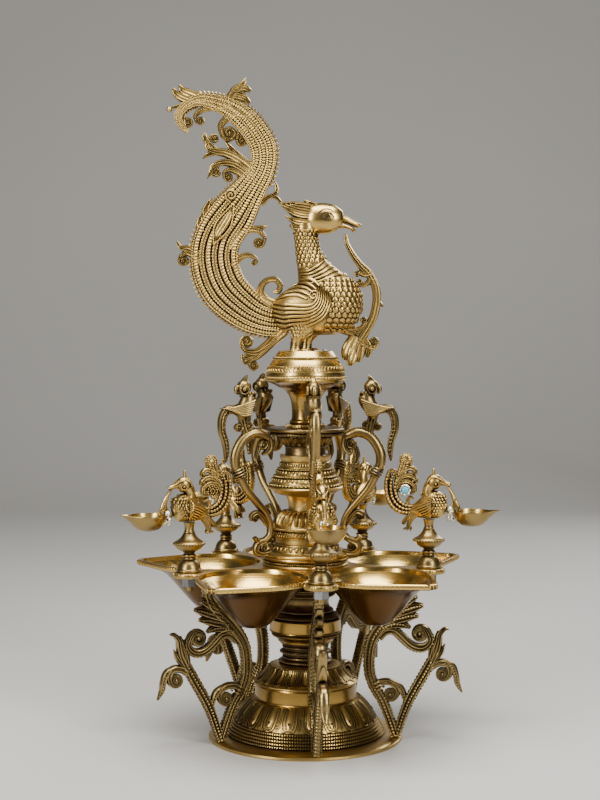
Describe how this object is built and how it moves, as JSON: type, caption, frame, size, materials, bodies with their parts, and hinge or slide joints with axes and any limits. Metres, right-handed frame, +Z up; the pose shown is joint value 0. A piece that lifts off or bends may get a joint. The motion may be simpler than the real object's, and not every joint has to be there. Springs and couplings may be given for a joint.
{
  "type": "standing oil lamp",
  "caption": "Tall brass standing oil lamp with a ring of spouted bowls, bird lamps on turning posts, scroll handles with parrots, openwork floor brackets and a peacock finial.",
  "frame": {"origin": "on the tie rod's axis, in the plane of the foot's rest face", "axes": "+Z up along the tie rod; +X the way the peacock faces; -Y is the side seen from the front"},
  "size_m": [0.4145, 0.4141, 0.7422],
  "materials": {
    "antique_brass": "cast, relief wiped bright over brown patina in the recesses",
    "polished_brass": "turned and polished, faint turning lines",
    "steel": "zinc plated, dull",
    "blue_stone": "opaque blue paste cabochon"
  },
  "bodies": {
    "lamp": {"foot_bell": "antique_brass", "lower_collar": "polished_brass", "petal_dome": "antique_brass", "beaded_neck": "antique_brass", "upper_collar": "polished_brass", "tray_stand": "antique_brass", "tray_plate": "antique_brass", "tray_hub": "antique_brass", "lamp_drum": "antique_brass", "gadroon_neck": "antique_brass", "ring_bulge": "antique_brass", "corbel_drum": "antique_brass", "mid_plate": "antique_brass", "column": "polished_brass", "tie_rod": "steel", "tie_nut": "steel", "post_washers": "steel", "post_nuts": "steel", "bowl_1": "polished_brass", "floor_bracket_1": "antique_brass", "scroll_handle_1": "antique_brass", "parrot_1": "antique_brass", "bowl_2": "polished_brass", "floor_bracket_2": "antique_brass", "scroll_handle_2": "antique_brass", "parrot_2": "antique_brass", "bowl_3": "polished_brass", "floor_bracket_3": "antique_brass", "scroll_handle_3": "antique_brass", "parrot_3": "antique_brass", "bowl_4": "polished_brass", "floor_bracket_4": "antique_brass", "scroll_handle_4": "antique_brass", "parrot_4": "antique_brass", "bowl_5": "polished_brass", "floor_bracket_5": "antique_brass", "scroll_handle_5": "antique_brass", "parrot_5": "antique_brass"},
    "finial": {"cap_dome": "polished_brass", "peacock_body": "antique_brass", "peacock_tail": "antique_brass", "peacock_garland": "antique_brass"},
    "bird_lamp_1": {"lamp_post_1": "antique_brass", "lamp_bird_1": "antique_brass", "oil_dish_1": "antique_brass"},
    "bird_lamp_2": {"lamp_post_2": "antique_brass", "lamp_bird_2": "antique_brass", "oil_dish_2": "antique_brass", "stone": "blue_stone"},
    "bird_lamp_3": {"lamp_post_3": "antique_brass", "lamp_bird_3": "antique_brass", "oil_dish_3": "antique_brass"},
    "bird_lamp_4": {"lamp_post_4": "antique_brass", "lamp_bird_4": "antique_brass", "oil_dish_4": "antique_brass"},
    "bird_lamp_5": {"lamp_post_5": "antique_brass", "lamp_bird_5": "antique_brass", "oil_dish_5": "antique_brass"}
  },
  "joints": [
    {"name": "finial_turn", "type": "hinge", "parent": "lamp", "child": "finial", "pos_m": [0, 0, 0.4043], "axis": [0, 0, 1], "continuous": true},
    {"name": "bird_lamp_1_turn", "type": "hinge", "parent": "lamp", "child": "bird_lamp_1", "pos_m": [0.01585, -0.1391, 0.1964], "axis": [0, 0, 1], "range_deg": [-90, 90]},
    {"name": "bird_lamp_2_turn", "type": "hinge", "parent": "lamp", "child": "bird_lamp_2", "pos_m": [0.13719, -0.02791, 0.1964], "axis": [0, 0, 1], "range_deg": [-90, 90]},
    {"name": "bird_lamp_3_turn", "type": "hinge", "parent": "lamp", "child": "bird_lamp_3", "pos_m": [0.06894, 0.12185, 0.1964], "axis": [0, 0, 1], "range_deg": [-90, 90]},
    {"name": "bird_lamp_4_turn", "type": "hinge", "parent": "lamp", "child": "bird_lamp_4", "pos_m": [-0.09458, 0.10322, 0.1964], "axis": [0, 0, 1], "range_deg": [-90, 90]},
    {"name": "bird_lamp_5_turn", "type": "hinge", "parent": "lamp", "child": "bird_lamp_5", "pos_m": [-0.1274, -0.05806, 0.1964], "axis": [0, 0, 1], "range_deg": [-90, 90]}
  ]
}
